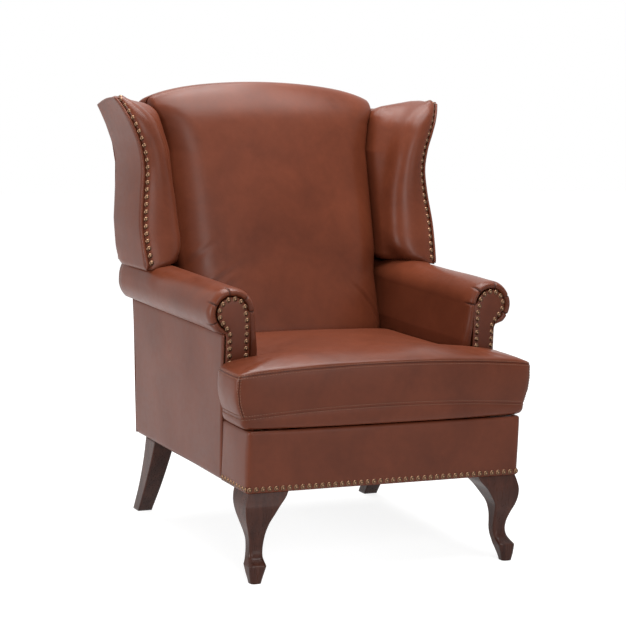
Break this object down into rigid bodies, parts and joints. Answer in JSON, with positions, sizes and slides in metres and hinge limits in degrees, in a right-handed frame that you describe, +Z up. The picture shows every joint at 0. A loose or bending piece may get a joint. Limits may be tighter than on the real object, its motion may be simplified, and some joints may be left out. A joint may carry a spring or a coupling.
{
  "type": "wingback armchair",
  "caption": "Leather wingback armchair with rolled arms, a loose T-shaped seat cushion, nail-head trim, cabriole front legs and raked rear legs.",
  "frame": {"origin": "on the floor, under the middle of the chair's overall box", "axes": "+Z up, +Y to the rear, the chair faces -Y, +X to the right of someone who looks at its front"},
  "size_m": [0.844, 0.8022, 1.025],
  "materials": {
    "leather": "smooth, satin, warm brown",
    "frame_wood": "sawn, unfinished",
    "leg_wood": "dark stain, satin lacquer",
    "spring_steel": "drawn wire",
    "foam": "open-cell foam and fibre",
    "lining_cloth": "black non-woven cloth and elastic web",
    "antique_brass": "antiqued, darker at the rims"
  },
  "bodies": {
    "root": {"front_border_cover": "leather", "back_pad": "leather", "outside_back_panel": "leather", "arm_pad_left": "leather", "arm_pad_right": "leather", "arm_facing_left": "leather", "arm_facing_right": "leather", "outside_arm_panel_left": "leather", "outside_arm_panel_right": "leather", "wing_pad_left": "leather", "wing_pad_right": "leather", "outside_wing_panel_left": "leather", "outside_wing_panel_right": "leather", "seat_front_rail": "frame_wood", "seat_rear_rail": "frame_wood", "back_crest_rail": "frame_wood", "back_lower_rail": "frame_wood", "seat_side_rail_left": "frame_wood", "seat_side_rail_right": "frame_wood", "corner_block_front_left": "frame_wood", "corner_block_front_right": "frame_wood", "corner_block_rear_left": "frame_wood", "corner_block_rear_right": "frame_wood", "back_stile_left": "frame_wood", "back_stile_right": "frame_wood", "arm_front_post_left": "frame_wood", "arm_front_post_right": "frame_wood", "arm_board_left": "frame_wood", "arm_board_right": "frame_wood", "wing_front_stile_left": "frame_wood", "wing_front_stile_right": "frame_wood", "wing_lower_rail_left": "frame_wood", "wing_lower_rail_right": "frame_wood", "wing_upper_rail_left": "frame_wood", "wing_upper_rail_right": "frame_wood", "front_leg_left": "leg_wood", "front_leg_right": "leg_wood", "rear_leg_left": "leg_wood", "rear_leg_right": "leg_wood", "seat_spring_1": "spring_steel", "seat_spring_2": "spring_steel", "seat_spring_3": "spring_steel", "seat_spring_4": "spring_steel", "seat_spring_5": "spring_steel", "leg_bolt_front_left": "spring_steel", "leg_bolt_front_right": "spring_steel", "leg_bolt_rear_left": "spring_steel", "leg_bolt_rear_right": "spring_steel", "seat_deck_pad": "foam", "seat_deck_cloth": "lining_cloth", "dust_cover": "lining_cloth", "back_web_left": "lining_cloth", "back_web_right": "lining_cloth", "front_border_nail_trim": "antique_brass", "arm_nail_trim_left": "antique_brass", "arm_nail_trim_right": "antique_brass", "wing_nail_trim_left": "antique_brass", "wing_nail_trim_right": "antique_brass"},
    "seat_cushion": {"seat_cushion_cover": "leather", "seat_cushion_core": "foam"}
  },
  "joints": [
    {"name": "seat_cushion_lift", "type": "slide", "parent": "root", "child": "seat_cushion", "axis": [0, 0, 1], "range_m": [0, 0.15]}
  ]
}
